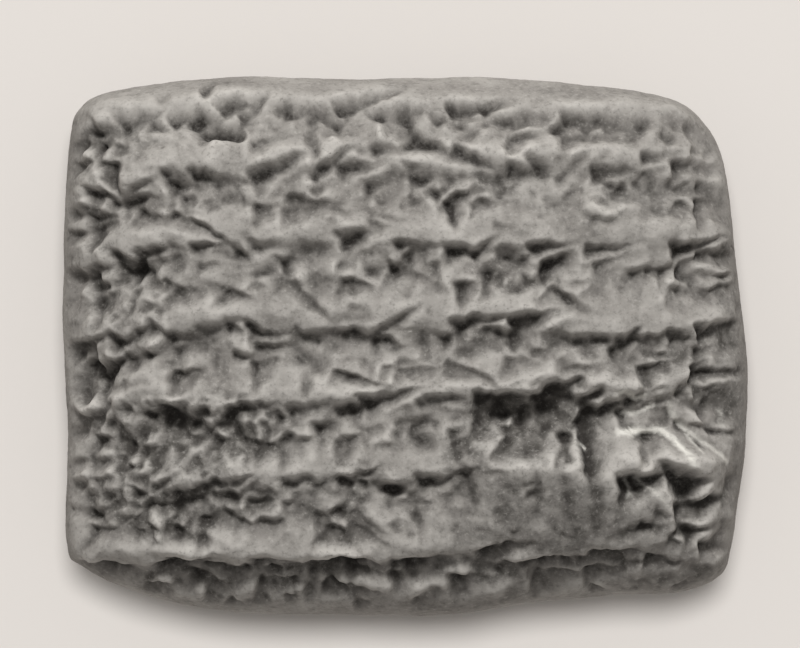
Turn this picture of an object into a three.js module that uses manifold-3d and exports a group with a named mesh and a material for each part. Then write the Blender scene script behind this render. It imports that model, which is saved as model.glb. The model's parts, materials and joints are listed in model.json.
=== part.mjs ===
// A pillow-shaped clay tablet lying on its back, in millimetres, +Z up.
// X runs along the lines of writing and Y up the page. The origin is the middle of the
// flat on its back, so the tablet rests on Z = 0.

import * as THREE from "three";
import { mergeVertices } from "three/addons/utils/BufferGeometryUtils.js";
import Module from "manifold-3d";

const halfHeight = 21.2;
const waistHeight = 9.6; // the widest section, above the ground
const frontRise = 10.3; // from the waist to the top of the front face
const backRise = 9.9; // a little over the waist, and what would go below ground is the flat
const frontFullness = 4; // a higher number is a flatter face with a tighter shoulder
const backFullness = 3.4;
const sideSquareness = 2.5; // 2 is an ellipse, and more is a straighter side
const clayColour = 0x9b9891;

// The outline seen from the front, anticlockwise. Each side starts at its corner.
const outlineSides = [
  // bottom
  [
    [-25.4, -17.3], [-21, -19.4], [-14, -20.8], [-4, -21.2],
    [4, -21.1], [10, -20.2], [16, -19.6], [21.5, -19.3],
  ],
  // right
  [[24.8, -18], [25.7, -15.4], [26.4, -11], [27, -3.3], [26.5, 2], [25.8, 8.5], [25, 14.5]],
  // top
  [[23.5, 17.6], [20.8, 19.5], [14.8, 20.5], [6, 21.2], [-4, 21.1], [-14, 21.2], [-22.3, 20.3]],
  // left
  [[-25.6, 18.8], [-26.5, 15.4], [-27, 4], [-26.6, -7], [-26.7, -15.4]],
];
const columns = 25; // across the face
const faceEdge = 0.962; // where the face meets the side, as a share of the outline
const sideShares = [0.984, 0.996, 1]; // the rings from there to the waist
const backShares = [0.91, 0.83, 0.7]; // the rings of the back, in to its flat

// The lines of writing, as the courses they hang from, left to right. Each is a furrow that
// drops from a ridge and rises to the next.
const courses = [
  [
    [-27, 16.6], [-24.5, 17.5], [-20, 18.2], [-17, 18.7], [-13.5, 19.3], [-8, 19],
    [3, 18.9], [8, 18.5], [13, 18.4], [20, 18.2], [27, 17],
  ],
  [
    [-27, 11], [-24.6, 12.4], [-21, 13], [-17, 13.6], [-12, 13.9], [-4, 14.1],
    [5, 14.4], [12, 14.5], [17, 14.3], [22, 14.6], [27, 14],
  ],
  [
    [-27, 6], [-24, 7], [-20, 7.7], [-16, 8.2], [-8, 8.6], [-3, 8.4],
    [4, 8.1], [8, 8.4], [12, 7.8], [17, 7.9], [22, 7.6], [27, 8],
  ],
  [
    [-27, 0], [-22, 1], [-18, 1.6], [-14, 2], [-8, 1.8], [-2, 1.8],
    [2, 2.1], [9, 2.1], [12, 1.4], [17, 1], [22, 1.4], [27, 2.4],
  ],
  [
    [-27, -5.6], [-23, -5], [-17, -4.6], [-12, -4.2], [-4, -4.1],
    [1, -4], [5, -3.1], [10, -3], [15, -3.3], [20, -3.4], [27, -2.4],
  ],
  [
    [-27, -10.6], [-20, -10.4], [-14, -10.2], [-8, -9.4], [-3, -9.6],
    [2, -9.9], [8, -9], [16, -8.8], [27, -9.4],
  ],
  [
    [-27, -16.4], [-20, -16.4], [-14, -16.6], [-9, -16.5], [-4, -16],
    [2, -16], [8, -16.2], [14, -15.4], [19, -14], [27, -13.4],
  ],
];
const lastLineReach = 3.4;
const furrow = [
  { down: 0, height: 0.3 },
  { down: 0.12, height: -0.6 },
  { down: 0.6, height: -0.45 },
  { down: 0.85, height: 0.34 },
]; // its section: shares of the way down to the next line, and heights above the face
const furrowFade = 0.1; // the share of the width in which it runs out at each end
const swelling = { at: [16, -10.4], size: [21, 8.4], height: 0.8 }; // a lump with no writing

// The pressed strokes, by the sign that stands for each in the lines below. At a turn of 0
// the broad head is at the left. The tail points that many degrees up the page.
const strokes = {
  "-": { length: 5.6, width: 1.6, depth: 0.85, turn: 6 },
  w: { length: 4.8, width: 2.3, depth: 1.2, turn: 17 },
  "=": { length: 3.8, width: 1.2, depth: 0.8, turn: 3 },
  "|": { length: 3.6, width: 1.6, depth: 0.9, turn: -88 },
  "/": { length: 4.6, width: 1.4, depth: 0.85, turn: 44 },
  ">": { length: 5.6, width: 1.5, depth: 0.9, turn: -24 },
  "<": { length: 2.2, width: 2.2, depth: 1.1, turn: 152 },
};
const strokeStep = 2; // from one sign of a line to the next
const strokeScatter = { along: 0.5, across: 0.35, turn: 7, size: 0.14 };
const strokeRows = { first: 0.9, second: 3.2 }; // below the course of their line
const strokeSink = 0.3; // how far below the smooth surface their mouths lie
const cutClearance = 1.2; // how far a cutter stands above the clay

const frontLines = [
  ["w  w w ||- - - -   =  <", "w =    |    |  <     ="],
  ["=    w  - /  <-  |=  |w", "</ w     >/  - - -  <  ="],
  [" w w   - - -  w |  - -w", "- = >  >   =  <  =  w  <"],
  ["  w w  -  -  -  w  >  w", " < w  >  |  / <  =   < w"],
  [" < = w w  w  -  - w = w", " =  <  > w   w  =   =  >"],
  ["<  -   w w  <", "   >  = -  >         = <"],
  ["   - w  w -  -  =   <", ""],
];
// The back's page turns over at the bottom edge, and its strokes are all that shows of its lines.
const backCourses = [
  [[-27, 16.2], [-12, 16.8], [4, 16.4], [16, 16.9], [27, 16.2]],
  [[-27, 10.4], [-14, 10.9], [0, 10.5], [14, 10.9], [27, 10.3]],
  [[-27, 4.6], [-10, 5.2], [6, 4.8], [27, 5]],
];
const backStrokeStep = 1.76;
const backLines = [
  ["  w = | - < / w - = <  w", "   - > = w  | - = < w"],
  ["  - w < = | > - w = | <", "  w =  - / w = <  - >"],
  ["  = - w | < - =", ""],
];

// Worn hollows and chips: ellipsoids with their middles on the smooth surface.
const hollows = [
  { at: [10.2, -5], size: [10.6, 4.4, 2.6], turn: 0 },
  { at: [18, -5.6], size: [5.6, 3.8, 2], turn: 0 },
  { at: [-25.1, -2.6], size: [3, 5.6, 3.6], turn: -8 },
  { at: [-21.6, 6.6], size: [4.6, 2.8, 2.6], turn: -30 },
  { at: [-16.5, -12.4], size: [10, 3.2, 2.2], turn: -4 },
];

const { degToRad, lerp } = THREE.MathUtils;

// A repeatable number from -1 to 1 for each seed.
function scatter(seed) {
  const wave = Math.sin(seed * 12.9898 + 4.1) * 43758.5453;
  return 2 * (wave - Math.floor(wave)) - 1;
}

// The height of a course at a place along it.
function courseAt(course, x) {
  const next = Math.max(course.findIndex(([end]) => end >= x), 1);
  const [[fromX, fromY], [toX, toY]] = [course[next - 1], course[next]];
  return lerp(fromY, toY, (x - fromX) / (toX - fromX));
}

// The outline, and the point at a share of the length of one of its sides.
const outlinePoints = outlineSides.flat().map(([x, y]) => new THREE.Vector3(x, y, 0));
const outline = new THREE.CatmullRomCurve3(outlinePoints, true, "catmullrom", 0.5);
const sidePaths = outlineSides.map((side, index) => {
  const first = outlineSides.slice(0, index).flat().length;
  const steps = 120;
  const path = new THREE.CurvePath();
  const at = (step) => outline.getPoint((first + (side.length * step) / steps) / outlinePoints.length);
  for (let step = 0; step < steps; step += 1) {
    path.add(new THREE.LineCurve3(at(step), at(step + 1)));
  }
  return path;
});

function sidePoint(side, share) {
  return sidePaths[side].getPoint(share);
}

// How far out a point lies: 0 at the middle and 1 on the outline.
const outlineRays = outline.getPoints(1440).map((point) => ({
  angle: Math.atan2(point.y, point.x),
  radius: Math.hypot(point.x, point.y),
})).sort((one, other) => one.angle - other.angle);

function outwardShare(x, y) {
  const angle = Math.atan2(y, x);
  const ray = outlineRays.find((candidate) => candidate.angle >= angle) ?? outlineRays[0];
  return Math.hypot(x, y) / ray.radius;
}

// The smooth pillow, before any writing.
function pillow(share, fullness) {
  return Math.pow(Math.max(1 - Math.pow(share, fullness), 0), 1 / sideSquareness);
}

function frontHeight(x, y) {
  return waistHeight + frontRise * pillow(outwardShare(x, y), frontFullness);
}

function backHeight(x, y) {
  return Math.max(waistHeight - backRise * pillow(outwardShare(x, y), backFullness), 0);
}

// A place on the face: across is 0 at its left edge and 1 at its right, up is 0 at the bottom
// edge and 1 at the top. Both follow the bowed edges.
function facePoint(across, up) {
  const [bottom, right] = [sidePoint(0, across), sidePoint(1, up)];
  const [top, left] = [sidePoint(2, 1 - across), sidePoint(3, 1 - up)];
  const [lowLeft, lowRight] = [sidePoint(0, 0), sidePoint(1, 0)];
  const [highRight, highLeft] = [sidePoint(2, 0), sidePoint(3, 0)];
  const blend = (axis) => {
    const low = lerp(lowLeft[axis], lowRight[axis], across);
    const high = lerp(highLeft[axis], highRight[axis], across);
    const edges = lerp(bottom[axis], top[axis], up) + lerp(left[axis], right[axis], across);
    return edges - lerp(low, high, up);
  };
  return [faceEdge * blend("x"), faceEdge * blend("y")];
}

function upOf(y) {
  return 0.5 + y / (2 * halfHeight * faceEdge);
}

// The levels across the face, bottom to top: the edges and the bends of every furrow.
function faceLevels() {
  const bends = courses.flatMap((course, line) => furrow.map(({ down, height }) => {
    const rowAt = (x) => {
      const top = courseAt(course, x);
      const next = courses[line + 1];
      return lerp(top, next ? courseAt(next, x) : top - lastLineReach, down);
    };
    return { up: upOf(rowAt(0)), height, rowAt };
  }));
  return [{ up: 1, height: 0 }, ...bends, { up: 0, height: 0 }].reverse();
}

function swellingShare(x, y) {
  const [along, up] = [x - swelling.at[0], y - swelling.at[1]];
  return Math.max(1 - (2 * along / swelling.size[0]) ** 2 - (2 * up / swelling.size[1]) ** 2, 0);
}

// The front face as a grid of points, with the furrows pressed in.
function faceGrid(levels) {
  return levels.map(({ up, height, rowAt }, row) =>
    Array.from({ length: columns + 1 }, (_, column) => {
      const across = column / columns;
      let [x, y] = facePoint(across, up);
      const onEdge = column === 0 || column === columns || row === 0 || row === levels.length - 1;
      if (onEdge) return new THREE.Vector3(x, y, frontHeight(x, y));
      const fade = Math.min(across, 1 - across, furrowFade) / furrowFade;
      y = lerp(y, rowAt(x), fade);
      const swell = swellingShare(x, y);
      const relief = height * fade * Math.max(1 - 3 * swell, 0) + swelling.height * swell;
      return new THREE.Vector3(x, y, frontHeight(x, y) + relief);
    }));
}

// The points round the outline, anticlockwise from the bottom left corner.
function rim(levels) {
  const even = Array.from({ length: columns }, (_, column) => column / columns);
  const rising = levels.slice(0, -1).map(({ up }) => up);
  const falling = levels.slice(1).map(({ up }) => 1 - up).reverse();
  return [even, rising, even, falling].flatMap((shares, side) =>
    shares.map((share) => sidePoint(side, share)));
}

function ring(around, share, heightAt) {
  return around.map(({ x, y }) => new THREE.Vector3(x * share, y * share, heightAt(x * share, y * share)));
}

// The closed pillow: the face's grid, the rings down its side and in over the back, and the flat.
function pillowGeometry() {
  const levels = faceLevels();
  const around = rim(levels);
  const corners = [];
  const quad = (one, two, three, four) => corners.push(one, two, three, one, three, four);
  const grid = faceGrid(levels);
  for (let row = 0; row + 1 < grid.length; row += 1) {
    for (let column = 0; column < columns; column += 1) {
      const [low, high] = [grid[row], grid[row + 1]];
      quad(low[column], low[column + 1], high[column + 1], high[column]);
    }
  }
  const flatShare = Math.pow(1 - Math.pow(waistHeight / backRise, sideSquareness), 1 / backFullness);
  const rings = [
    ...[faceEdge, ...sideShares].map((share) => ring(around, share, frontHeight)),
    ...[...sideShares.slice(0, -1).reverse(), faceEdge, ...backShares].map((share) =>
      ring(around, share, backHeight)),
    ring(around, flatShare, () => 0),
  ];
  const count = around.length;
  rings.slice(1).forEach((lower, index) => {
    const upper = rings[index];
    for (let place = 0; place < count; place += 1) {
      const next = (place + 1) % count;
      quad(upper[place], lower[place], lower[next], upper[next]);
    }
  });
  const flat = rings.at(-1);
  for (let place = 0; place < count; place += 1) {
    corners.push(new THREE.Vector3(), flat[(place + 1) % count], flat[place]);
  }
  return new THREE.BufferGeometry().setFromPoints(corners);
}

// A point of the stylus, pressed in at its head with the tail trailing along +X. It is a
// three-sided spike, and at the level of the clay its section is the stroke's triangle.
function stylusPoint({ length, width, depth }) {
  const deepest = new THREE.Vector3(0.3 * width, 0, -depth);
  const mouth = [[0, width / 2, 0], [0, -width / 2, 0], [length, 0, 0]].map(([x, y, z]) =>
    new THREE.Vector3(x, y, z).lerp(deepest, -cutClearance / depth));
  const geometry = new THREE.BufferGeometry().setFromPoints([deepest, ...mouth]);
  geometry.setIndex([1, 2, 3, 0, 2, 1, 0, 3, 2, 0, 1, 3]);
  return geometry;
}

// A frame sunk a little into the clay at a place, its Z along the surface's normal.
function surfaceFrame(x, y, heightAt, side, turn) {
  const reach = 0.8;
  const slopeX = (heightAt(x + reach, y) - heightAt(x - reach, y)) / (2 * reach);
  const slopeY = (heightAt(x, y + reach) - heightAt(x, y - reach)) / (2 * reach);
  const normal = new THREE.Vector3(-slopeX * side, -slopeY * side, side).normalize();
  const along = new THREE.Vector3(Math.cos(turn), side * Math.sin(turn), 0);
  along.addScaledVector(normal, -along.dot(normal)).normalize();
  const across = new THREE.Vector3().crossVectors(normal, along);
  const foot = new THREE.Vector3(x, y, heightAt(x, y)).addScaledVector(normal, -strokeSink);
  return new THREE.Matrix4().makeBasis(along, across, normal).setPosition(foot);
}

// Every stroke of a page, as cutters in place. The page is read with +Y up it on the front, and
// turned over at its bottom edge on the back, where side is -1.
function strokeCutters(lines, pageCourses, signStep, heightAt, side) {
  const cutters = [];
  lines.forEach((rows, line) => rows.forEach((signs, row) => [...signs].forEach((sign, step) => {
    if (!strokes[sign]) return;
    const seed = 101 * line + 53 * row + step + (side < 0 ? 1000 : 0);
    const x = (step - 12.5) * signStep + strokeScatter.along * scatter(seed);
    const drop = row === 0 ? strokeRows.first : strokeRows.second;
    const y = courseAt(pageCourses[line], x) - drop + strokeScatter.across * scatter(seed + 0.3);
    const size = 1 + strokeScatter.size * scatter(seed + 0.6);
    const { length, width, depth, turn } = strokes[sign];
    const angle = degToRad(turn + strokeScatter.turn * scatter(seed + 0.8));
    const cutter = stylusPoint({ length: length * size, width: width * size, depth: depth * size });
    cutters.push(cutter.applyMatrix4(surfaceFrame(x, side * y, heightAt, side, angle)));
  })));
  return cutters;
}

function hollowCutter({ at: [x, y], size: [length, breadth, depth], turn }) {
  const geometry = new THREE.SphereGeometry(0.5, 12, 8).scale(length, breadth, depth);
  return geometry.rotateZ(degToRad(turn)).translate(x, y, frontHeight(x, y));
}

const wasm = await Module();
wasm.setup();

function toSolid(geometry) {
  const bare = geometry.clone();
  bare.deleteAttribute("normal");
  bare.deleteAttribute("uv");
  const merged = mergeVertices(bare, 1e-4);
  const { position } = merged.attributes;
  const triVerts = new Uint32Array(merged.index.array);
  return new wasm.Manifold(new wasm.Mesh({ numProp: 3, vertProperties: position.array, triVerts }));
}

function toGeometry(solid) {
  const { vertProperties, triVerts } = solid.getMesh();
  const geometry = new THREE.BufferGeometry();
  geometry.setAttribute("position", new THREE.BufferAttribute(vertProperties, 3));
  geometry.setIndex(new THREE.BufferAttribute(triVerts, 1));
  const faceted = geometry.toNonIndexed();
  faceted.computeVertexNormals();
  return faceted;
}

const cutters = [
  ...hollows.map(hollowCutter),
  ...strokeCutters(frontLines, courses, strokeStep, frontHeight, 1),
  ...strokeCutters(backLines, backCourses, backStrokeStep, backHeight, -1),
];
const pressed = cutters.reduce((clay, cutter) => clay.subtract(toSolid(cutter)), toSolid(pillowGeometry()));

const clay = new THREE.MeshStandardMaterial({ color: clayColour, roughness: 0.95, metalness: 0 });
const tablet = new THREE.Mesh(toGeometry(pressed), clay);
tablet.name = "tablet";

const model = new THREE.Group();
model.add(tablet);

export default model;
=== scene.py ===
import json
import bpy
import numpy as np
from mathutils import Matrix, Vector

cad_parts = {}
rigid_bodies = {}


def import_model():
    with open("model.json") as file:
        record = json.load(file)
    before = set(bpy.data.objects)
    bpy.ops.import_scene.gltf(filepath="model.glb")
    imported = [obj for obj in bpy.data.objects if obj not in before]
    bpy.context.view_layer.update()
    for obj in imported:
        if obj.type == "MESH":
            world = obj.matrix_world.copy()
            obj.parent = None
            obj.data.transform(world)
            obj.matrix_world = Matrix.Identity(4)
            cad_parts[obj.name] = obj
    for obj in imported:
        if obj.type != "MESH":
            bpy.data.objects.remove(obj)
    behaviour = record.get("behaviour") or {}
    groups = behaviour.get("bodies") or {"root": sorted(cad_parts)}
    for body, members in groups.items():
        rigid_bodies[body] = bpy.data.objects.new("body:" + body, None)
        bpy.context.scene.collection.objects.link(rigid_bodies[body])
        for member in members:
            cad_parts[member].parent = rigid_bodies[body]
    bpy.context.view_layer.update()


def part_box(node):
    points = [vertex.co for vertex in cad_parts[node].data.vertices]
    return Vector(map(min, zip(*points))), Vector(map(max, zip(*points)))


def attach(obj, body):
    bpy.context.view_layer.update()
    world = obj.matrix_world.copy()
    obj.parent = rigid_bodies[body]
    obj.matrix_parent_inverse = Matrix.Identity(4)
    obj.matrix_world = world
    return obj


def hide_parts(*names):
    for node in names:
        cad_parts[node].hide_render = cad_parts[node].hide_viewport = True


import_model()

mm = 0.001  # shapes are worked out in millimetres, and a mesh is made in metres

# The pillow that the tablet was patted into, with the sizes of its solid.
tablet = {
    "sides": [  # the outline from the front, anticlockwise, and each side starts at its corner
        [(-25.4, -17.3), (-21, -19.4), (-14, -20.8), (-4, -21.2), (4, -21.1), (10, -20.2), (16, -19.6),
         (21.5, -19.3)],
        [(24.8, -18), (25.7, -15.4), (26.4, -11), (27, -3.3), (26.5, 2), (25.8, 8.5), (25, 14.5)],
        [(23.5, 17.6), (20.8, 19.5), (14.8, 20.5), (6, 21.2), (-4, 21.1), (-14, 21.2), (-22.3, 20.3)],
        [(-25.6, 18.8), (-26.5, 15.4), (-27, 4), (-26.6, -7), (-26.7, -15.4)],
    ],
    "waist": 9.6,  # the widest section, above the floor
    "frontRise": 10.3,
    "backRise": 9.9,
    "frontFullness": 4.0,
    "backFullness": 3.4,
    "squareness": 2.5,
    "faceEdge": 0.962,  # where the face turns into the side, as a share of the outline
    "halfSize": (26.5, 21.2),  # about, to count the points of the mesh
    "reliefEnds": (0.955, 0.04),  # the share where a face's relief starts to fade, and over how much
    "meshStep": 0.125,  # between the points of the mesh before it is thinned
    "mostTriangles": 196000,
}

# A sheet of heights over the tablet, seen flat from the front or, for the back, from behind.
sheet = {"halfWidth": 28.0, "halfHeight": 22.4, "step": 0.08}
sheetX, sheetY = np.meshgrid(
    np.arange(-sheet["halfWidth"], sheet["halfWidth"] + sheet["step"] / 2, sheet["step"]),
    np.arange(-sheet["halfHeight"], sheet["halfHeight"] + sheet["step"] / 2, sheet["step"]),
)


def eased(share):
    share = np.clip(share, 0, 1)
    return share * share * (3 - 2 * share)


# Smooth noise from about -1 to 1. Its lumps are about as wide as size, and z may be a plain number.
def cloud(x, y, z, size, seed):
    rng = np.random.default_rng(seed)
    order = np.tile(rng.permutation(256), 2)
    slopes = rng.normal(size=(256, 3))
    slopes = (slopes / np.linalg.norm(slopes, axis=1)[:, None]).T
    places = [np.asarray(axis, dtype=float) / size + 101.3 for axis in (x, y, z)]
    cells = [np.floor(place).astype(int) for place in places]
    parts = [place - cell for place, cell in zip(places, cells)]
    cells = [cell & 255 for cell in cells]
    eases = [part * part * part * (part * (part * 6 - 15) + 10) for part in parts]
    total = 0
    for corner in np.ndindex(2, 2, 2):
        cell = order[order[order[cells[0] + corner[0]] + cells[1] + corner[1]] + cells[2] + corner[2]]
        slope = sum(slopes[axis][cell] * (parts[axis] - corner[axis]) for axis in range(3))
        weight = 1
        for axis in range(3):
            weight = weight * (eases[axis] if corner[axis] else 1 - eases[axis])
        total = total + weight * slope
    return 1.5 * total


# Noise in layers, each half as wide and about half as strong as the one before.
def layeredCloud(x, y, z, size, layers, seed):
    total, strength = 0, 1
    for layer in range(layers):
        total = total + strength * cloud(x, y, z, size / 2**layer, seed + 17 * layer)
        strength *= 0.55
    return total


# Layers of noise added up, each with its strength, size and seed.
def clouds(x, y, z, layers):
    return sum(strength * cloud(x, y, z, size, seed) for strength, size, seed in layers)


# A patchwork of tilted facets, each about as wide as size, with soft or sharp joins.
def facets(x, y, size, tilt, step, sharpness, seed):
    rng = np.random.default_rng(seed)
    jitter = rng.uniform(0.1, 0.9, (64, 64, 2))
    slopes = rng.normal(0, tilt, (64, 64, 2))
    offsets = rng.normal(0, step, (64, 64))
    column, row = np.floor(x / size).astype(int), np.floor(y / size).astype(int)
    total = weights = 0
    for besideX, besideY in np.ndindex(3, 3):
        cellX, cellY = column + besideX - 1, row + besideY - 1
        at = (cellY & 63, cellX & 63)
        offX = x - (cellX + jitter[at][..., 0]) * size
        offY = y - (cellY + jitter[at][..., 1]) * size
        gap = np.hypot(offX, offY) / size
        weight = np.exp(-sharpness * gap)
        total = total + weight * (offsets[at] + slopes[at][..., 0] * offX + slopes[at][..., 1] * offY)
        weights = weights + weight
    return total / weights


# A sheet blurred to about that radius.
def softened(heights, radius):
    reach = max(int(round(radius / sheet["step"])), 1)
    for _ in range(3):
        for axis in (0, 1):
            pad = [(0, 0), (0, 0)]
            pad[axis] = (reach + 1, reach)
            total = np.cumsum(np.pad(heights, pad, mode="edge"), axis=axis)
            count = heights.shape[axis]
            ahead = np.take(total, np.arange(2 * reach + 1, 2 * reach + 1 + count), axis=axis)
            behind = np.take(total, np.arange(count), axis=axis)
            heights = (ahead - behind) / (2 * reach + 1)
    return heights


# The value of a sheet at places, between its cells.
def sheetAt(values, x, y):
    column = np.clip((x + sheet["halfWidth"]) / sheet["step"], 0, values.shape[1] - 1.001)
    row = np.clip((y + sheet["halfHeight"]) / sheet["step"], 0, values.shape[0] - 1.001)
    left, low = column.astype(int), row.astype(int)
    across, up = column - left, row - low
    return ((values[low, left] * (1 - across) + values[low, left + 1] * across) * (1 - up)
            + (values[low + 1, left] * (1 - across) + values[low + 1, left + 1] * across) * up)


# How far each point of a sheet is from a path of points, and how far along the path, from 0 to 1.
def distanceToPath(x, y, path):
    path = np.array(path, dtype=float)
    lengths = np.hypot(*np.diff(path, axis=0).T)
    travelled = np.concatenate([[0], np.cumsum(lengths)]) / lengths.sum()
    nearest = np.full(x.shape, np.inf)
    share = np.zeros(x.shape)
    for index, length in enumerate(lengths):
        (startX, startY), (endX, endY) = path[index], path[index + 1]
        part = ((x - startX) * (endX - startX) + (y - startY) * (endY - startY)) / length**2
        part = np.clip(part, 0, 1)
        gap = np.hypot(x - startX - part * (endX - startX), y - startY - part * (endY - startY))
        closer = gap < nearest
        nearest = np.where(closer, gap, nearest)
        share = np.where(closer, travelled[index] + part * (travelled[index + 1] - travelled[index]), share)
    return nearest, share


# The window of a sheet within reach of a place, for work on a small mark.
def windowAt(x, y, reach):
    step = sheet["step"]
    column = int(round((x + sheet["halfWidth"]) / step))
    row = int(round((y + sheet["halfHeight"]) / step))
    cells = int(np.ceil(reach / step))
    rows = slice(max(row - cells, 0), max(row + cells + 1, 0))
    columns = slice(max(column - cells, 0), max(column + cells + 1, 0))
    return rows, columns


# The writing. A line hangs from its course, and its furrow's section runs down to the next one.
writing = {
    "courses": [
        [(-27, 16.6), (-24.5, 17.5), (-20, 18.2), (-17, 18.7), (-13.5, 19.3), (-8, 19), (3, 18.9), (8, 18.5),
         (13, 18.4), (20, 18.2), (27, 17)],
        [(-27, 11), (-24.6, 12.4), (-21, 13), (-17, 13.6), (-12, 13.9), (-4, 14.1), (5, 14.4), (12, 14.5),
         (17, 14.3), (22, 14.6), (27, 14)],
        [(-27, 6), (-24, 7), (-20, 7.7), (-16, 8.2), (-8, 8.6), (-3, 8.4), (4, 8.1), (8, 8.4), (12, 7.8),
         (17, 7.9), (22, 7.6), (27, 8)],
        [(-27, 0), (-22, 1), (-18, 1.6), (-14, 2), (-8, 1.8), (-2, 1.8), (2, 2.1), (9, 2.1), (12, 1.4),
         (17, 1), (22, 1.4), (27, 2.4)],
        [(-27, -5.6), (-23, -5), (-17, -4.6), (-12, -4.2), (-4, -4.1), (1, -4), (5, -3.1), (10, -3),
         (15, -3.3), (20, -3.4), (27, -2.4)],
        [(-27, -10.6), (-20, -10.4), (-14, -10.2), (-8, -9.4), (-3, -9.6), (2, -9.9), (8, -9), (16, -8.8),
         (27, -9.4)],
        [(-27, -16.4), (-20, -16.4), (-14, -16.6), (-9, -16.5), (-4, -16), (2, -16), (8, -16.2), (14, -15.4),
         (19, -14), (27, -13.4)],
    ],
    "lastReach": 3.4,  # how far down the last line reaches
    "section": [(0, 0.34), (0.05, 0.22), (0.12, -0.25), (0.2, -0.55), (0.36, -0.62), (0.52, -0.45),
                (0.68, -0.02), (0.8, 0.28), (0.9, 0.42), (1, 0.34)],
    "fadeFrom": 24,  # the furrows run out between here and the edge
    "fadeTo": 27,
    "rows": [
        ["w-w w w -|- = - = - -  =", "= =  - |  / <   = -   <=", "  |    -   =  >   |  -   "],
        ["=w  w- w /w  <- =w -  w-", "-w/ w < >/ w - = -  < = ", " -  \\  w-  >  -=  /  = - "],
        ["w- w - =  w -|-  w -  w=", "=- > =- > = w <= | w -<=", " w  - = \\ -   w  -  = /  "],
        ["w w -w - = -  w w > w =w", "=<- w >w | / -<  =|  < w", " =  -  w  > - \\ = -  w - "],
        ["w< w- w w -w - - w= w =w", " w=- w >-w -w  = w =- > ", "=-w  = -w - w  -  -  =   "],
        ["w< w-w =- w  w <", "=- w-> w-=          =  <", " -w =w - w            -  "],
        ["-w= w=-w -- =- w=  -   <", "-  = - - =  - -  - - = -", ""],
    ],
    "rowDrops": (0.75, 2.1, 3.4),  # from the course down to each row of a line
    "rowStep": 2.16,  # from one sign to the next
    "sink": 0.3,  # the mouths of the strokes lie this far below the smooth clay
}
# A stroke for each sign of a row. At a turn of 0 its broad head is at the left. The lean is the
# steep side's share of the width.
strokes = {
    "-": {"length": 4.4, "width": 1.7, "depth": 0.9, "turn": 5, "lean": 0.28},
    "w": {"length": 3.8, "width": 2.6, "depth": 1.25, "turn": 15, "lean": 0.3},
    "=": {"length": 2.8, "width": 1.4, "depth": 0.75, "turn": 2, "lean": 0.3},
    "|": {"length": 3.0, "width": 1.3, "depth": 0.65, "turn": -86, "lean": 0.5},
    "/": {"length": 3.8, "width": 1.3, "depth": 0.8, "turn": 40, "lean": 0.35},
    ">": {"length": 4.4, "width": 1.3, "depth": 0.8, "turn": -20, "lean": 0.3},
    "\\": {"length": 4.8, "width": 1.2, "depth": 0.75, "turn": -32, "lean": 0.3},
    "<": {"length": 1.9, "width": 1.8, "depth": 0.9, "turn": 152, "lean": 0.65},
}
# The back has three lines, and is read with the tablet turned over its bottom edge.
backWriting = {
    **writing,
    "courses": [
        [(-27, 16.2), (-12, 16.8), (4, 16.4), (16, 16.9), (27, 16.2)],
        [(-27, 10.4), (-14, 10.9), (0, 10.5), (14, 10.9), (27, 10.3)],
        [(-27, 4.6), (-10, 5.2), (6, 4.8), (27, 5)],
    ],
    "lastReach": 4.6,
    "section": [(0, 0.06), (0.05, 0), (0.12, -0.22), (0.4, -0.2), (0.8, -0.02), (1, 0.06)],
    "fadeFrom": 17,
    "fadeTo": 22,
    "rows": [
        ["  w = | - < / w - = <  w", "   - > = w  | - = < w"],
        ["  - w < = | > - w = | <", "  w =  - / w = <  - >"],
        ["  = - w | < - =", ""],
    ],
    "rowDrops": (0.9, 3.2),
    "rowStep": 1.76,
}

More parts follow.
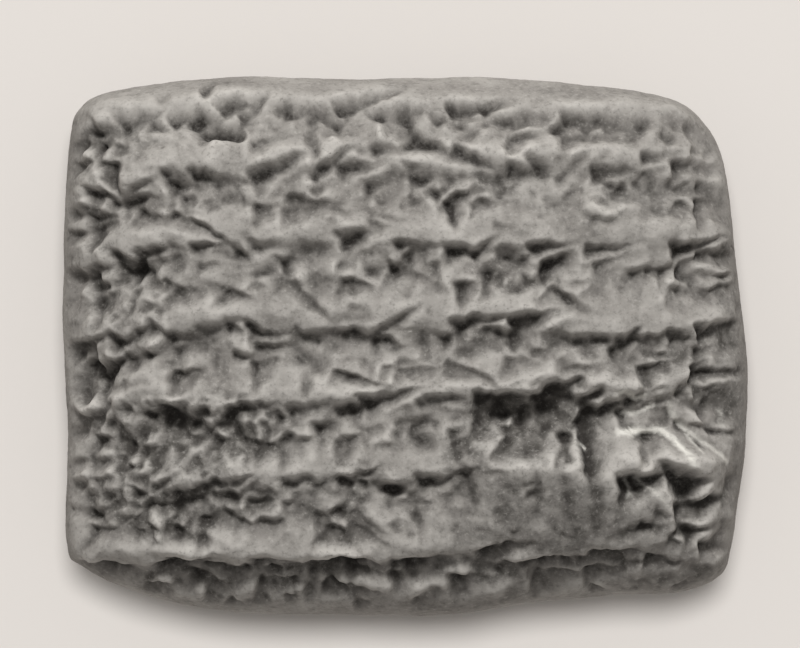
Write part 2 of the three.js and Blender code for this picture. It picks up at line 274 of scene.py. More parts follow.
# What wear and damage did to the front: rolls stand up from it, hollows and grooves go in.
wearMarks = {
    "rolls": [  # path, half width, height
        ([(-26, 8.8), (-24.6, 10.2), (-22.6, 11.9), (-19.5, 13.4), (-15, 14.7)], 1.5, 0.42),
        ([(-13, 15.3), (-4, 15.3), (6, 15.5), (13, 16.2), (18, 16)], 1.3, 0.22),
        ([(-25.4, -4.9), (-24, -3.7), (-22, -3.1), (-18, -2.8), (-15.5, -3.5)], 1.3, 0.5),
        ([(10.5, -1.5), (13, -1.4), (16, -2.6)], 1.1, 0.42),
        ([(-6, 3), (2, 3), (6, 3.3), (10.5, 3.4)], 1.0, 0.2),
        ([(-22, -14.9), (-16, -15.7), (-9, -15.9), (-3, -15.1), (3, -14.8)], 0.8, 0.35),
        ([(-13.4, -8.7), (-12.6, -10.2), (-11.8, -11.6)], 0.9, 0.3),
        ([(-20, 9.9), (-16, 9.7), (-9, 9.8), (-3, 9.6)], 1.1, 0.2),
        ([(14, 9.1), (18, 9.5), (23, 9)], 1.2, 0.25),
        ([(7.5, -9), (14, -8.7), (19, -8.7), (24, -9.6)], 1.4, 0.32),
    ],
    "hollows": [  # middle, length and breadth, depth, turn in degrees
        ((10, -5.1), (11.4, 4.4), 1.5, 0),
        ((18, -5.4), (5.6, 3.4), 0.55, 0),
        ((-25.1, -2.4), (2.6, 4.8), 1.2, -8),
        ((-21.6, 6.3), (3.2, 2.4), 0.8, -30),
        ((-24.6, 4.8), (2.8, 1.3), 0.8, 8),
        ((-16.6, -12.8), (9.6, 3.2), 0.6, -3),
        ((-17, -6), (12, 2.8), 0.35, 3),
        ((-4.2, -13.6), (2, 1.8), 0.7, 0),
        ((-0.6, -10.7), (1.8, 1.7), 0.6, 0),
        ((-24.7, -12.9), (2, 1.2), 0.6, 0),
    ],
    "grooves": [  # path, half width, depth
        ([(20.4, -3.9), (22.4, -2.8), (24.6, -1.3)], 0.75, 0.8),
        ([(-20, -14), (-17.5, -14.7), (-13, -15.6)], 0.4, 0.55),
        ([(21.9, -5.9), (22.8, -6.1), (23.6, -6.6), (24.6, -6.7), (26, -7.1)], 0.2, 0.5),
        ([(23.4, -4), (24.6, -3.6), (25.8, -3)], 0.3, 0.35),
        ([(13.6, 10.2), (14.2, 9.8), (15.5, 9.6), (16.6, 9.9)], 0.25, 0.35),
        ([(16.4, -14.6), (18, -13.9), (20, -13.7)], 0.6, 0.5),
        ([(20.6, -14.5), (21.5, -14.2), (23.8, -14)], 0.45, 0.5),
        ([(7.2, -9.2), (7.5, -11), (7, -13)], 0.7, 0.28),
        ([(9.6, -8.6), (10.1, -11), (9.7, -13.4)], 0.6, 0.3),
        ([(11.6, -8.8), (12.4, -11), (12.6, -13.4)], 0.6, 0.32),
        ([(14, -8.4), (14.6, -11.2), (14.5, -14)], 0.8, 0.34),
        ([(16.3, -9), (17.5, -10.7), (19, -12.4)], 0.6, 0.34),
        ([(19.6, -8.8), (20.8, -11), (22.8, -12.6)], 0.7, 0.26),
        ([(20.4, -4.6), (21.6, -6.6), (23.6, -8.6)], 0.6, 0.3),
        ([(22.4, -4.4), (23.4, -6), (25, -7.6)], 0.5, 0.3),
    ],
    "swelling": {"left": 4.6, "right": 25.5, "crest": -8.6, "rise": 1.2, "fall": 8.0, "height": 1.5},
    "chips": {  # how many places are tried, over what part of the face, and the size of one
        "count": 1100, "across": 26.5, "up": 20, "length": 1.6, "width": 1.2, "depth": 0.6, "lean": 0.3,
    },
    "lump": {"at": (15.2, 11), "size": (3.6, 2.2), "height": 0.45},
}
# Where crust and stain lie: middle, size, and the strength of each. The stain strips along the bottom edge
# and the right edge are painted shade, where the clay turns away from the light.
patches = [
    ((-17, -6.4), (19, 7), 0.8, 0.95),
    ((-18, -11.6), (17, 7), 0.8, 0.95),
    ((-22, 4.4), (9, 8), 0.6, 0.5),
    ((-4, -12), (12, 7), 0.6, 0.5),
    ((-24.6, 13), (3.4, 7), 0.7, 0.5),
    ((3, 12.2), (15, 3.4), 0.45, 0.35),
    # painted shade: a dark strip along the bottom edge
    ((-12, -18.6), (20, 3.4), 0.6, 0.8),
    ((19, 12), (11, 5), 0.35, 0.35),
    ((13, -15), (20, 6), 0.4, 0.8),
    ((9, 5.6), (6, 3.4), 0.5, 0.45),
    ((10, -5.1), (13, 5.4), 0.3, 1.0),
    # painted shade: a dark strip along the bottom edge
    ((14, -17.6), (24, 5), 0.2, 0.6),
    ((9, -8.4), (13, 12), 0.2, 0.75),
    ((16, -12.6), (20, 5.4), 0.2, 0.9),
    ((-25, 2), (5, 30), 0.3, 0.45),
    ((22, -1), (10, 7), 0.2, 0.5),
    ((18, -5.4), (6, 4), 0.1, 0.5),
    ((21.4, -2.4), (9, 4), 0.2, 0.6),
    # painted shade: a dark strip along the right edge
    ((25.8, 4), (3.2, 30), 0.2, 0.7),
    ((-25.4, -2.2), (3.4, 6), 0.2, 0.8),
    # painted shade: a dark strip along the whole bottom edge
    ((4, -18.6), (44, 4), 0.3, 0.5),
    ((14, -12.4), (22, 4), 0.2, 0.45),
    ((14, 0.6), (24, 3), 0.3, 0.5),
    ((-12, 0.6), (20, 2.6), 0.3, 0.45),
]
saltVeins = [  # path, half width, strength
    ([(16, -3.6), (16.8, -3.3), (18, -4.1), (18.5, -3.7)], 0.22, 0.8),
    ([(17, -5.1), (18.6, -4.9), (19.4, -4.6)], 0.2, 0.6),
    ([(16.4, -6.6), (18.4, -6.5), (19.8, -6.4), (20.6, -7.1), (21.2, -8.1), (21.4, -9)], 0.3, 1.0),
    ([(20.4, -4.4), (21, -5.4), (21.8, -6.4), (23.2, -7.6), (24.4, -8.8)], 0.22, 0.6),
    ([(21.9, -6.9), (22.4, -8)], 0.18, 0.7),
    ([(13.3, -7.2), (13.9, -7.9)], 0.12, 0.9),
    ([(15.8, -9.4), (16.8, -10), (17.3, -10.8), (16.9, -11.5)], 0.14, 0.4),
    ([(17.6, -10), (18.8, -11), (20, -12.4)], 0.14, 0.4),
    ([(24.9, -5), (24.7, -6.2)], 0.2, 0.4),
]


# A repeatable number from -1 to 1 for each seed, as in the solid.
def scatter(seed):
    wave = np.sin(seed * 12.9898 + 4.1) * 43758.5453
    return 2 * (wave - np.floor(wave)) - 1


def courseHeight(course, x):
    return np.interp(x, [place[0] for place in course], [place[1] for place in course])


# The furrows of a page, from each course down to the next, with the rise above the first.
def furrows(page, x, y):
    sectionDown, sectionHeight = np.array(page["section"]).T
    heights = np.zeros(x.shape)
    for line, course in enumerate(page["courses"]):
        top = courseHeight(course, x)
        last = line + 1 == len(page["courses"])
        bottom = top - page["lastReach"] if last else courseHeight(page["courses"][line + 1], x)
        down = (top - y) / (top - bottom)
        part = np.interp(down, sectionDown, sectionHeight)
        strength = np.clip(0.85 + 0.8 * cloud(x, 0 * y, line * 7.7, 3.4, 31), 0.15, 1.3)
        if last:
            part = part * eased((1 - down) * 2.5)
        heights = np.where((down >= 0) & (down < 1), part * strength, heights)
        if line == 0:
            rise = sectionHeight[0] * np.exp(-(((y - top) / 0.9) ** 2))
            heights = np.where(y > top, rise, heights)
    fade = 1 - eased((np.abs(x) - page["fadeFrom"]) / (page["fadeTo"] - page["fadeFrom"]))
    return heights * fade


# Presses one point of the stylus into the sheet: a pit with a broad head and a steep side, which
# runs out to a point.
def pressStroke(heights, warpX, warpY, at, stroke, size, angle, sink):
    length, width, depth = (stroke[name] * size for name in ("length", "width", "depth"))
    rows, columns = windowAt(at[0], at[1], length + width + 1)
    patch = heights[rows, columns]
    if patch.size == 0:
        return
    offX = sheetX[rows, columns] + warpX[rows, columns] - at[0]
    offY = sheetY[rows, columns] + warpY[rows, columns] - at[1]
    along = offX * np.cos(angle) + offY * np.sin(angle)
    across = -offX * np.sin(angle) + offY * np.cos(angle)
    reach = np.where(across > 0, stroke["lean"] * width, (1 - stroke["lean"]) * width)
    share = np.minimum(along / (0.25 * width), 1 - along / length - np.abs(across) / reach)
    floor = -sink - depth * np.where(share > 0, share, share * 1.5)
    soft = 0.1  # how far its lip has worn round
    blend = np.clip(0.5 + 0.5 * (patch - floor) / soft, 0, 1)
    heights[rows, columns] = patch * (1 - blend) + floor * blend - soft * blend * (1 - blend)


def pressRows(page, heights, warpX, warpY, seedOffset):
    for line, rows in enumerate(page["rows"]):
        for row, signs in enumerate(rows):
            for step, sign in enumerate(signs):
                if sign not in strokes:
                    continue
                seed = 101 * line + 53 * row + step + seedOffset
                stroke = strokes[sign]
                x = (step - 12.5) * page["rowStep"] + 0.5 * scatter(seed)
                y = courseHeight(page["courses"][line], x) - page["rowDrops"][row]
                y += 0.35 * scatter(seed + 0.3)
                size = 1 + 0.25 * scatter(seed + 0.6)
                angle = np.radians(stroke["turn"] + 9 * scatter(seed + 0.8))
                pressStroke(heights, warpX, warpY, (x, y), stroke, size, angle, page["sink"])


# Small broken marks, most of them in the crust.
def breakChips(heights, warpX, warpY, crust):
    chips = wearMarks["chips"]
    rng = np.random.default_rng(71)
    for acrossShare, upShare, chance, sizeShare, turnShare in rng.uniform(-1, 1, (chips["count"], 5)):
        x, y = chips["across"] * acrossShare, chips["up"] * upShare
        here = windowAt(x, y, 0)
        if chance > 1.9 * crust[here].mean() - 0.8:
            continue
        angle = np.radians(5 + 40 * turnShare)
        pressStroke(heights, warpX, warpY, (x, y), chips, 1 + 0.6 * sizeShare, angle,
                    -heights[here].mean())


# A patch that is 1 in its middle and 0 from its edge outwards.
def patchShare(x, y, middle, size, turn=0):
    angle = np.radians(turn)
    offX, offY = x - middle[0], y - middle[1]
    along = offX * np.cos(angle) + offY * np.sin(angle)
    across = -offX * np.sin(angle) + offY * np.cos(angle)
    return np.clip(1 - (2 * along / size[0]) ** 2 - (2 * across / size[1]) ** 2, 0, 1)


# The front's clay: how far noise bends its marks and crumbles their edges, as layers of strength,
# size and seed, and the facets that it broke into.
frontClay = {
    "bendX": [(0.5, 3.0, 11), (0.25, 1.2, 12)],
    "bendY": [(0.45, 2.6, 13), (0.3, 1.1, 14)],
    "crumbleX": [(0.22, 0.8, 17), (0.14, 0.4, 15)],
    "crumbleY": [(0.22, 0.8, 18), (0.14, 0.4, 16)],
    "flakes": {"size": 2.6, "tilt": 0.3, "step": 0.2, "sharpness": 14, "seed": 25},
    "grit": {"size": 0.95, "tilt": 0.3, "step": 0.07, "sharpness": 9, "seed": 26},
    "crumbHeight": 0.06,
    "pitDepth": 0.16,
}


# The heights of the front over the smooth pillow, with maps of what lies where.
def makeFront():
    x, y = sheetX, sheetY
    marks = wearMarks
    crust = np.zeros(x.shape)
    stain_and_painted_shade = np.zeros(x.shape)
    # the stain map holds real stain and the painted shade of the strips along the bottom and right edges
    for middle, size, crustStrength, stainAndShadeStrength in patches:
        share = np.minimum(patchShare(x, y, middle, size) * 2, 1) ** 0.5
        crust = np.maximum(crust, crustStrength * share)
        stain_and_painted_shade = np.maximum(stain_and_painted_shade, stainAndShadeStrength * share)
    breaking = layeredCloud(x, y, 3.1, 3.2, 4, 5)
    crust = eased(crust * 1.1 + 0.35 * breaking - 0.1)
    stain_and_painted_shade = np.clip(stain_and_painted_shade * (1 + 0.5 * breaking), 0, 1)
    form = marks["swelling"]
    above = y - form["crest"]
    over = np.where(above > 0, above / form["rise"], -above / form["fall"])
    swelling = (eased((x - form["left"]) / 3) * eased((form["right"] - x) / 3)
                * np.clip(1 - over, 0, 1) ** 0.8)
    inside = eased((26.4 - np.abs(x)) / 2) * eased((19.8 - np.abs(y)) / 1.5)
    ragged = 0.7 + 0.6 * crust
    warpX = ragged * clouds(x, y, 0, frontClay["bendX"])
    warpY = ragged * clouds(x, y, 0, frontClay["bendY"])
    unwritten = eased(4 * swelling)
    calm = 1 - 0.6 * unwritten
    heights = furrows(writing, x + warpX, y + warpY) * (1 - unwritten)
    trough = eased(0.2 - 1.6 * heights) * inside  # where the signs lie
    heights += 0.2 * cloud(x, y, 0, 8, 23)
    for path, halfWidth, height in marks["rolls"]:
        gap, share = distanceToPath(x + 0.7 * warpX, y + 0.7 * warpY, path)
        ends = np.sqrt(np.sin(np.pi * np.clip(share, 0.03, 0.97)))
        heights += height * ends * np.exp(-1.2 * (gap / halfWidth) ** 2)
    heights += marks["swelling"]["height"] * swelling
    lump = patchShare(x + warpX, y + warpY, marks["lump"]["at"], marks["lump"]["size"])
    heights += marks["lump"]["height"] * np.sqrt(lump)
    # flaked facets and the lumps between strokes, most in the troughs
    flakes = facets(x + 0.8 * warpX, y + 0.8 * warpY, **frontClay["flakes"])
    heights += (0.3 + 0.6 * trough) * inside * calm * flakes
    lumps = np.abs(cloud(0.6 * x + warpX, y + warpY, 3, 2.6, 27))
    lumps += 0.5 * np.abs(cloud(0.7 * x, y, 3, 1.3, 28))
    heights += (0.3 + 0.5 * trough + 0.4 * crust) * inside * calm * (lumps - 0.45)
    pressRows(writing, heights, warpX, warpY, 0)
    for middle, size, depth, turn in marks["hollows"]:
        share = patchShare(x + 2 * warpX, y + 2 * warpY, middle, size, turn)
        heights -= depth * eased(share * (1.6 + 0.8 * cloud(x, y, 0, 1.2, 19)))
    breakChips(heights, warpX, warpY, crust)
    for path, halfWidth, depth in marks["grooves"]:
        gap, share = distanceToPath(x + 0.6 * warpX, y + 0.6 * warpY, path)
        ends = np.sin(np.pi * np.clip(share, 0.06, 0.94)) ** 0.5
        heights -= depth * ends * np.clip(1 - gap / halfWidth, 0, 1)
    # every edge has crumbled, more in the crust
    crumbleX = clouds(x, y, 0, frontClay["crumbleX"])
    crumbleY = clouds(x, y, 0, frontClay["crumbleY"])
    heights = sheetAt(heights, x + ragged * crumbleX, y + ragged * crumbleY)
    worn = eased(0.45 + 0.9 * cloud(x, y, 0, 6, 24) + 0.4 * eased((x - 8) / 8) * eased((y - 8) / 6))
    heights = softened(heights, 0.08)
    heights = heights * (1 - 0.6 * worn) + softened(heights, 0.2) * 0.6 * worn
    # the rough skin that burial left, down to the grain of the clay
    grit = facets(x + 0.5 * warpX, y + 0.5 * warpY, **frontClay["grit"])
    rough = (0.15 + 0.35 * trough + 0.5 * crust) * inside * (1 - 0.3 * worn) * (0.4 + 0.6 * calm)
    heights += rough * grit
    heights += (0.035 + 0.06 * crust + 0.035 * inside) * layeredCloud(x, y, 0, 1.3, 4, 42)
    crumbs = eased((cloud(x, y, 0, 0.4, 51) - 0.8 + 0.3 * crust) * 2.5)
    pits = eased((cloud(x, y, 0, 0.6, 52) - 0.85 + 0.35 * crust) * 2.5)
    pits = np.maximum(pits, eased((cloud(x, y, 0, 0.3, 53) - 0.8 + 0.3 * crust) * 3))
    heights += frontClay["crumbHeight"] * crumbs - frontClay["pitDepth"] * pits
    return heights, {"stain_and_painted_shade": stain_and_painted_shade, "crumbs": crumbs, "pits": pits}


# What the wear, dirt and painted light of a page look like, from its heights: how much dirt and painted
# shade each hollow has, how much pale worn clay and painted highlight each raised part has, and how much
# stain and painted shade each place has.
def toneSheets(heights, maps, z):
    x, y = sheetX, sheetY
    wide, narrow = softened(heights, 0.8) - heights, softened(heights, 0.3) - heights
    mottle = layeredCloud(x, y, z, 1.1, 4, 101)
    patchy = layeredCloud(x, y, z, 4.5, 4, 102)
    # painted shade: hollows, pits and creases are darkened by this mask, for grime and for the shade that
    # falls in them
    dirt_and_painted_shade = np.clip(1.2 * wide + 1.6 * narrow + 0.2 * maps["pits"] + 0.12 * mottle - 0.02, 0, 1)
    # painted highlight: raised parts are lightened by this mask, for worn clay and for the light that falls
    # on them
    pale_wear_and_painted_highlight = np.clip(-1.1 * wide - 1.4 * narrow + 0.1 * mottle + 0.1 * patchy + 0.3 * maps["crumbs"], 0, 1)
    # the stain mask carries real stain and painted shade along the bottom and right edges
    stain_and_painted_shade = np.clip(0.1 + 0.9 * maps["stain_and_painted_shade"] + 0.5 * patchy + 0.45 * mottle - 0.5 * pale_wear_and_painted_highlight, 0, 1)
    return {"dirt_and_painted_shade": dirt_and_painted_shade, "pale_wear_and_painted_highlight": pale_wear_and_painted_highlight, "stain_and_painted_shade": stain_and_painted_shade}


# The back's heights. It was rolled smoother than the front and is plainer.
def makeBack():
    x, y = sheetX, sheetY
    warpX = 0.22 * cloud(x, y, 9, 2.4, 61)
    warpY = 0.2 * cloud(x, y, 9, 2.2, 62)
    heights = furrows(backWriting, x + warpX, y + warpY)
    heights += 0.14 * cloud(x, y, 9, 9, 63) + 0.08 * cloud(x, y, 9, 3.4, 64)
    pressRows(backWriting, heights, warpX, warpY, 1000)
    heights = softened(heights, 0.08)
    crust = eased(0.25 + 0.5 * layeredCloud(x, y, 9, 7, 3, 65))
    heights += (0.02 + 0.04 * crust) * layeredCloud(x, y, 9, 1.2, 2, 66)
    pits = eased((cloud(x, y, 9, 0.6, 67) - 0.85 + 0.2 * crust) * 2.5)
    heights -= 0.16 * pits
    return heights, {"stain_and_painted_shade": 0.4 * crust, "crumbs": 0 * pits, "pits": pits}


# The closed skin of the tablet, from here on as points in space.
def outlineAt(places):
    points = np.array([place for side in tablet["sides"] for place in side], dtype=float)
    index = np.floor(places).astype(int)
    part = (places - index)[:, None]
    before, start, end, after = (points[(index + shift) % len(points)] for shift in (-1, 0, 1, 2))
    leaving, arriving = (end - before) / 2, (after - start) / 2
    return ((2 * part**3 - 3 * part**2 + 1) * start + (part**3 - 2 * part**2 + part) * leaving
            + (3 * part**2 - 2 * part**3) * end + (part**3 - part**2) * arriving)


def sidePlaces(side, shares):
    first = sum(len(points) for points in tablet["sides"][:side])
    count = len(tablet["sides"][side])
    path = outlineAt(first + np.linspace(0, count, 400))
    travelled = np.concatenate([[0], np.cumsum(np.hypot(*np.diff(path, axis=0).T))])
    marks = shares * travelled[-1]
    return np.stack([np.interp(marks, travelled, path[:, axis]) for axis in (0, 1)], axis=-1)


# How far out places lie: 0 at the middle and 1 on the outline.
def outwardShare(x, y):
    rays = outlineAt(np.linspace(0, sum(len(side) for side in tablet["sides"]), 4000, endpoint=False))
    angles, radii = np.arctan2(rays[:, 1], rays[:, 0]), np.hypot(rays[:, 0], rays[:, 1])
    order = np.argsort(angles)
    return np.hypot(x, y) / np.interp(np.arctan2(y, x), angles[order], radii[order], period=2 * np.pi)


def pillow(share, fullness):
    return np.maximum(1 - share**fullness, 0) ** (1 / tablet["squareness"])


# The face as a grid of places that follows its bowed edges, and it serves the back too.
def facePlaces():
    step, edge = tablet["meshStep"], tablet["faceEdge"]
    shareX = np.linspace(0, 1, int(round(2 * tablet["halfSize"][0] * edge / step)) + 1)
    shareY = np.linspace(0, 1, int(round(2 * tablet["halfSize"][1] * edge / step)) + 1)
    bottom, right = sidePlaces(0, shareX)[None], sidePlaces(1, shareY)[:, None]
    top, left = sidePlaces(2, 1 - shareX)[None], sidePlaces(3, 1 - shareY)[:, None]
    across, up = shareX[None, :, None], shareY[:, None, None]
    flat = ((1 - up) * ((1 - across) * bottom[:, :1] + across * bottom[:, -1:])
            + up * ((1 - across) * top[:, :1] + across * top[:, -1:]))
    return edge * ((1 - up) * bottom + up * top + (1 - across) * left + across * right - flat)


# The section of the rim from the front's edge to the back's, as shares and heights a step apart.
def rimSection():
    edge, power = tablet["faceEdge"], tablet["squareness"]
    front = np.linspace(pillow(edge, tablet["frontFullness"]), 0, 600)
    back = np.linspace(0, pillow(edge, tablet["backFullness"]), 600)[1:]
    shares = np.concatenate([(1 - front**power) ** (1 / tablet["frontFullness"]),
                             (1 - back**power) ** (1 / tablet["backFullness"])])
    heights = tablet["waist"] + np.concatenate([front * tablet["frontRise"], -back * tablet["backRise"]])
    meanRadius = 24.0
    travelled = np.concatenate([[0], np.cumsum(np.hypot(meanRadius * np.diff(shares), np.diff(heights)))])
    marks = np.linspace(0, travelled[-1], int(round(travelled[-1] / tablet["meshStep"] / 1.3)) + 1)
    return np.interp(marks, travelled, shares), np.interp(marks, travelled, heights)


# The smooth pillow's points and faces, with each point's outward share.
def smoothSkin():
    face = facePlaces()
    rows, columns = face.shape[:2]
    share = outwardShare(face[..., 0], face[..., 1])
    front = tablet["waist"] + tablet["frontRise"] * pillow(share, tablet["frontFullness"])
    back = np.maximum(tablet["waist"] - tablet["backRise"] * pillow(share, tablet["backFullness"]), 0)
    number = np.arange(rows * columns).reshape(rows, columns)
    around = np.concatenate([number[0, :-1], number[:-1, -1], number[-1, :0:-1], number[:0:-1, 0]])
    edge = face.reshape(-1, 2)[around] / tablet["faceEdge"]
    sectionShares, sectionHeights = rimSection()
    rings = [np.column_stack([edge * ringShare, np.full(len(edge), height)])
             for ringShare, height in zip(sectionShares[1:-1], sectionHeights[1:-1])]
    points = np.concatenate([
        np.column_stack([face.reshape(-1, 2), front.ravel()]),
        np.column_stack([face.reshape(-1, 2), back.ravel()]),
        *rings,
    ])
    shares = np.concatenate([share.ravel(), share.ravel(),
                             *[np.full(len(edge), ringShare) for ringShare in sectionShares[1:-1]]])

    def strip(low, high):
        return np.column_stack([low[:-1], low[1:], high[1:], high[:-1]])

    faces = [strip(number[row], number[row + 1]) for row in range(rows - 1)]
    backNumber = number + rows * columns
    faces += [strip(backNumber[row + 1], backNumber[row]) for row in range(rows - 1)]
    loops = [around]
    loops += [2 * rows * columns + ring * len(around) + np.arange(len(around)) for ring in range(len(rings))]
    loops += [around + rows * columns]
    for upper, lower in zip(loops[:-1], loops[1:]):
        faces.append(strip(np.append(lower, lower[0]), np.append(upper, upper[0])))
    return points, np.concatenate(faces), shares


def skinNormals(points, faces):
    corners = points[faces]
    spread = np.cross(corners[:, 2] - corners[:, 0], corners[:, 3] - corners[:, 1])
    normals = np.stack([np.bincount(faces.ravel(), np.repeat(spread[:, axis], 4), len(points))
                        for axis in range(3)], axis=1)
    return normals / np.linalg.norm(normals, axis=1)[:, None]


# The heights of the sides, which hands smoothed: broad pats, fine grain, pits and hairlines.
def sideRelief(x, y, z):
    relief = 0.16 * cloud(x, y, z, 6, 81) + 0.07 * cloud(x, y, z, 2.6, 82)
    relief += 0.035 * layeredCloud(x, y, z, 0.9, 2, 83)
    pits = eased((cloud(x, y, z, 0.8, 84) - 0.62) * 3) + eased((cloud(x, y, z, 1.7, 85) - 0.7) * 3)
    hairline = eased(1 - np.abs(cloud(x, y, z, 7, 86)) / 0.025) * eased(2 * cloud(x, y, z, 5, 87) - 0.3)
    return relief - 0.22 * pits - 0.14 * hairline, pits, hairline


def makeSalt():
    salt = np.zeros(sheetX.shape)
    wobble = 0.2 * cloud(sheetX, sheetY, 5, 0.9, 91)
    for path, halfWidth, strength in saltVeins:
        gap, share = distanceToPath(sheetX + wobble, sheetY - wobble, path)
        salt = np.maximum(salt, strength * eased(1.2 - gap / halfWidth))
    return salt


# The dirt and painted shade in pits and hairlines, and the worn clay, stain and salt of the sides, which are
# plainer than the faces.
def sideTones(x, y, z, pits, hairline):
    mottle = layeredCloud(x, y, z, 0.9, 2, 101)
    patchy = layeredCloud(x, y, z, 4.5, 2, 102)
    return {
        # painted shade: pits and hairlines are darkened, for grime and for the shade in them
        "dirt_and_painted_shade": np.clip(0.7 * pits + 0.6 * hairline + 0.12 * mottle, 0, 1),
        "pale_wear_and_painted_highlight": np.clip(0.15 * patchy + 0.1 * mottle, 0, 1),
        "stain_and_painted_shade": np.clip(0.35 * patchy + 0.25 * mottle, 0, 1),
        "salt": np.zeros(len(x)),
    }


def meshFrom(points, faces, tones):
    mesh = bpy.data.meshes.new("clay_tablet")
    mesh.vertices.add(len(points))
    mesh.vertices.foreach_set("co", (points * mm).ravel())
    mesh.loops.add(faces.size)
    mesh.loops.foreach_set("vertex_index", faces.ravel())
    mesh.polygons.add(len(faces))
    mesh.polygons.foreach_set("loop_start", np.arange(0, faces.size, 4))
    mesh.update(calc_edges=True)
    for name, values in tones.items():
        layer = mesh.attributes.new(name, "FLOAT", "POINT")
        layer.data.foreach_set("value", values.astype(np.float32))
    return mesh


# Thins a piece's mesh to the most triangles it may have, and shades it smooth.
def thin(piece):
    mesh = piece.data
    thinning = piece.modifiers.new("thinning", "DECIMATE")
    thinning.ratio = tablet["mostTriangles"] / (2 * len(mesh.polygons))
    thinned = bpy.data.meshes.new_from_object(piece.evaluated_get(bpy.context.evaluated_depsgraph_get()))
    piece.modifiers.clear()
    piece.data = thinned
    thinned.name = "clay_tablet"
    bpy.data.meshes.remove(mesh)
    thinned.polygons.foreach_set("use_smooth", np.ones(len(thinned.polygons), dtype=bool))


def makeTablet():
    frontHeights, frontMaps = makeFront()
    print("scene: the front is pressed and worn")
    backHeights, backMaps = makeBack()
    points, faces, shares = smoothSkin()
    normals = skinNormals(points, faces)
    x, y, z = points.T
    isFront = z > tablet["waist"]
    fadeFrom, fadeOver = tablet["reliefEnds"]
    onFace = 1 - eased((shares - fadeFrom) / fadeOver)
    face = np.where(isFront, sheetAt(frontHeights, x, y), sheetAt(backHeights, x, -y))
    side, sidePits, hairline = sideRelief(x, y, z)
    relief = onFace * face + (1 - onFace) * side
    points = points + normals * relief[:, None]
    points[:, 2] = np.maximum(points[:, 2], 0)

    salt = makeSalt()
    frontTones = {**toneSheets(frontHeights, frontMaps, 0), "salt": salt}
    backTones = {**toneSheets(backHeights, backMaps, 9), "salt": 0 * salt}
    tones = {}
    for name, sideTone in sideTones(x, y, z, sidePits, hairline).items():
        flat = np.where(isFront, sheetAt(frontTones[name], x, y), sheetAt(backTones[name], x, -y))
        tones[name] = onFace * flat + (1 - onFace) * sideTone

    # the skin fills the solid's own box
    low, high = (np.array(corner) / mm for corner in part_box("tablet"))
    least, most = points.min(axis=0), points.max(axis=0)
    points = low + (points - least) * (high - low) / (most - least)
    piece = bpy.data.objects.new("clay_tablet", meshFrom(points, faces, tones))
    bpy.context.scene.collection.objects.link(piece)
    print("scene: the skin has", 2 * len(faces), "triangles before thinning")
    thin(piece)
    print("scene: and", len(piece.data.polygons), "faces after it")
    return piece


# Adds one node with its settings and its links: a value for a socket, or another node's output.
# A socket is given by its name, its number or its identifier.
def addNode(tree, kind, settings=None, links=None):
    node = tree.nodes.new(kind)
    for name, value in (settings or {}).items():
        setattr(node, name, value)
    for name, value in (links or {}).items():
        matching = [socket for socket in node.inputs if socket.identifier == name]
        socket = matching[0] if matching else node.inputs[name]
        if isinstance(value, bpy.types.NodeSocket):
            tree.links.new(value, socket)
        else:
            socket.default_value = value
    return node


# An sRGB hex colour as linear red, green, blue and alpha.
def hexColour(text):
    parts = np.array([int(text[place:place + 2], 16) / 255 for place in (1, 3, 5)])
    linear = np.where(parts <= 0.04045, parts / 12.92, ((parts + 0.055) / 1.055) ** 2.4)
    return (*(float(part) for part in linear), 1.0)


# Sun-dried river clay, patted smooth by hand, then buried and washed. It has no glaze, so it
# scatters light with no shine. Its hollows are darkened, for the grime that burial left there and for
# painted shade, and its raised edges are lightened, for wear and for painted highlight.
clayLook = {
    "middle": "#8a8681",
    # worn clay, and painted highlight on raised parts
    "pale_wear_and_painted_highlight": "#bab6b0",
    # real stain, and painted shade along the bottom and right edges
    "stain_and_painted_shade": "#4c4945",
    # grime, and painted shade in hollows
    "dirt_and_painted_shade": "#33302d",
    "salt": "#dedbd3",
    "roughness": 0.93,
    "grain": 0.34,  # silt is finer than this, and is drawn as coarse as it needs to show
    "fleck": 0.8,
    "mottle": 5.0,
}


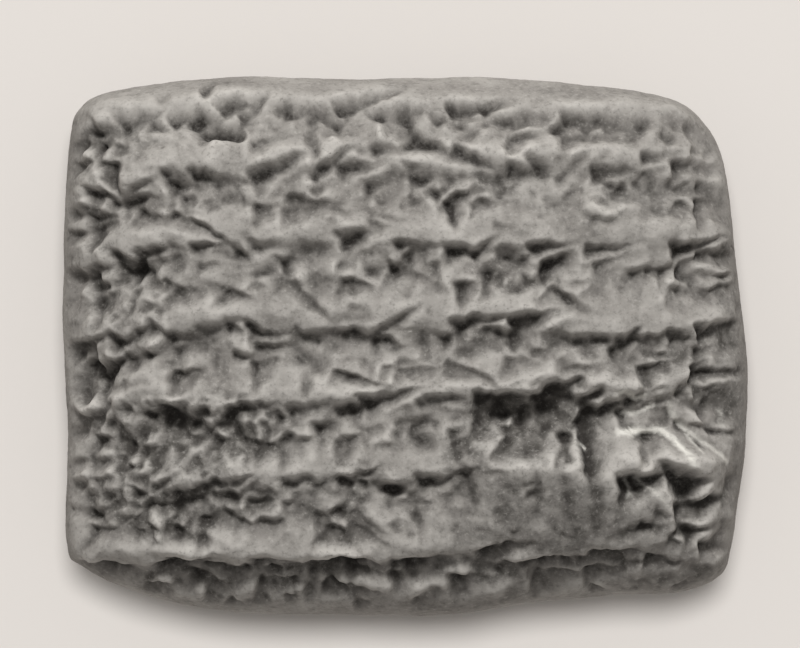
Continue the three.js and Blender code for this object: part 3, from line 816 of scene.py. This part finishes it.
def makeClay():
    look = clayLook
    material = bpy.data.materials.new("dried_clay")
    material.use_nodes = True
    tree = material.node_tree
    tree.nodes.clear()
    place = addNode(tree, "ShaderNodeTexCoord").outputs["Object"]
    patterns = {}
    for name, detail in (("grain", 3), ("fleck", 4), ("mottle", 5)):
        patterns[name] = addNode(tree, "ShaderNodeTexNoise", {}, {
            "Vector": place, "Scale": 1 / (look[name] * mm), "Detail": detail, "Roughness": 0.62,
        }).outputs["Fac"]
    # each coat lies over the ones before it: its colour, its mask, and the noise that breaks it up
    coats = (
        ("pale_wear_and_painted_highlight", None, "mottle", 0.44, 0.68, 0.0, 0.45),
        # stain and painted shade, by the stain mask
        ("stain_and_painted_shade", "stain_and_painted_shade", "fleck", 0.3, 0.62, 0.35, 1.0),
        ("stain_and_painted_shade", None, "fleck", 0.52, 0.72, 0.0, 0.4),
        # worn clay and painted highlight, by the pale mask
        ("pale_wear_and_painted_highlight", "pale_wear_and_painted_highlight", "grain", 0.25, 0.55, 0.6, 1.0),
        ("pale_wear_and_painted_highlight", None, "grain", 0.56, 0.74, 0.0, 0.4),
        ("dirt_and_painted_shade", None, "grain", 0.44, 0.3, 0.0, 0.25),
        # grime and painted shade, by the dirt mask
        ("dirt_and_painted_shade", "dirt_and_painted_shade", "grain", 0.7, 0.4, 0.7, 1.0),
        ("salt", "salt", "grain", 0.2, 0.5, 0.6, 1.0),
    )
    colour = hexColour(look["middle"])
    for coat, mask, pattern, start, end, least, most in coats:
        share = addNode(tree, "ShaderNodeMapRange", {}, {
            "Value": patterns[pattern], "From Min": start, "From Max": end, "To Min": least, "To Max": most,
        }).outputs["Result"]
        if mask:
            laid = addNode(tree, "ShaderNodeAttribute", {"attribute_name": mask}).outputs["Fac"]
            product = addNode(tree, "ShaderNodeMath", {"operation": "MULTIPLY"}, {0: share, 1: laid})
            share = product.outputs[0]
        colour = addNode(tree, "ShaderNodeMix", {"data_type": "RGBA"}, {
            "Factor_Float": share, "A_Color": colour, "B_Color": hexColour(look[coat]),
        }).outputs[2]
    bump = addNode(tree, "ShaderNodeBump", {}, {
        "Height": patterns["fleck"], "Distance": 0.12 * mm, "Strength": 0.6,
    })
    shader = addNode(tree, "ShaderNodeBsdfPrincipled", {}, {
        "Base Color": colour, "Roughness": look["roughness"], "IOR": 1.5, "Specular IOR Level": 0.2,
        "Normal": bump.outputs["Normal"],
    })
    addNode(tree, "ShaderNodeOutputMaterial", {}, {"Surface": shader.outputs["BSDF"]})
    return material


tabletPiece = makeTablet()
tabletPiece.data.materials.append(makeClay())
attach(tabletPiece, "root")
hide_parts("tablet")

# The studio: a pale board with a high lamp of its own, which keeps its shadows short, a lower lamp
# straight up the page that lights only the clay and rakes it, and pale walls.
studio = {
    "boardColour": "#d6d1cc",
    "boardHalf": 1.5,  # metres
    "frameWidth": 62.96,  # what the camera takes in at the middle of the tablet
    "aim": (-0.39, 1.77, 10.0),
    "lens": 180,
    "lamps": {  # place and size in metres, watts, and what each lights
        "window": {"place": (0, 0.27, 0.3), "size": 0.1, "power": 1.36, "lights": "clay_tablet"},
        "softbox": {"place": (0, 0.08, 0.5), "size": 0.12, "power": 2.05, "lights": "board"},
    },
    "wallStrength": 0.47,
    "wallColour": "#e8e6e4",
}


def aimAt(thing, target):
    direction = Vector(target) - Vector(thing.location)
    thing.rotation_euler = direction.to_track_quat("-Z", "Y").to_euler()


def makeStudio():
    scene = bpy.context.scene
    mesh = bpy.data.meshes.new("board")
    half = studio["boardHalf"]
    corners = [(-half, -half, 0), (half, -half, 0), (half, half, 0), (-half, half, 0)]
    mesh.from_pydata(corners, [], [(0, 1, 2, 3)])
    board = bpy.data.objects.new("board", mesh)
    scene.collection.objects.link(board)
    material = bpy.data.materials.new("painted_board")
    material.use_nodes = True
    shader = material.node_tree.nodes["Principled BSDF"]
    shader.inputs["Base Color"].default_value = hexColour(studio["boardColour"])
    shader.inputs["Roughness"].default_value = 0.9
    shader.inputs["Specular IOR Level"].default_value = 0.2
    mesh.materials.append(material)

    for name, setting in studio["lamps"].items():
        lamp = bpy.data.lights.new(name, "AREA")
        lamp.shape = "DISK"
        lamp.size = setting["size"]
        lamp.energy = setting["power"]
        source = bpy.data.objects.new(name, lamp)
        source.location = setting["place"]
        scene.collection.objects.link(source)
        aimAt(source, (0, 0, 0.01))
        lit = bpy.data.collections.new(name + "_lights")
        lit.objects.link(bpy.data.objects[setting["lights"]])
        source.light_linking.receiver_collection = lit

    world = bpy.data.worlds.new("walls")
    world.use_nodes = True
    walls = world.node_tree.nodes["Background"]
    walls.inputs["Color"].default_value = hexColour(studio["wallColour"])
    walls.inputs["Strength"].default_value = studio["wallStrength"]
    scene.world = world

    lens = bpy.data.cameras.new("camera")
    lens.lens = studio["lens"]
    lens.sensor_width = 36
    lens.clip_start = 0.01
    camera = bpy.data.objects.new("camera", lens)
    distance = studio["frameWidth"] * mm * studio["lens"] / lens.sensor_width
    aim = [part * mm for part in studio["aim"]]
    camera.location = (aim[0], aim[1], aim[2] + distance)
    scene.collection.objects.link(camera)
    scene.camera = camera
    scene.view_settings.view_transform = "Standard"


makeStudio()
print("scene: the studio is lit")
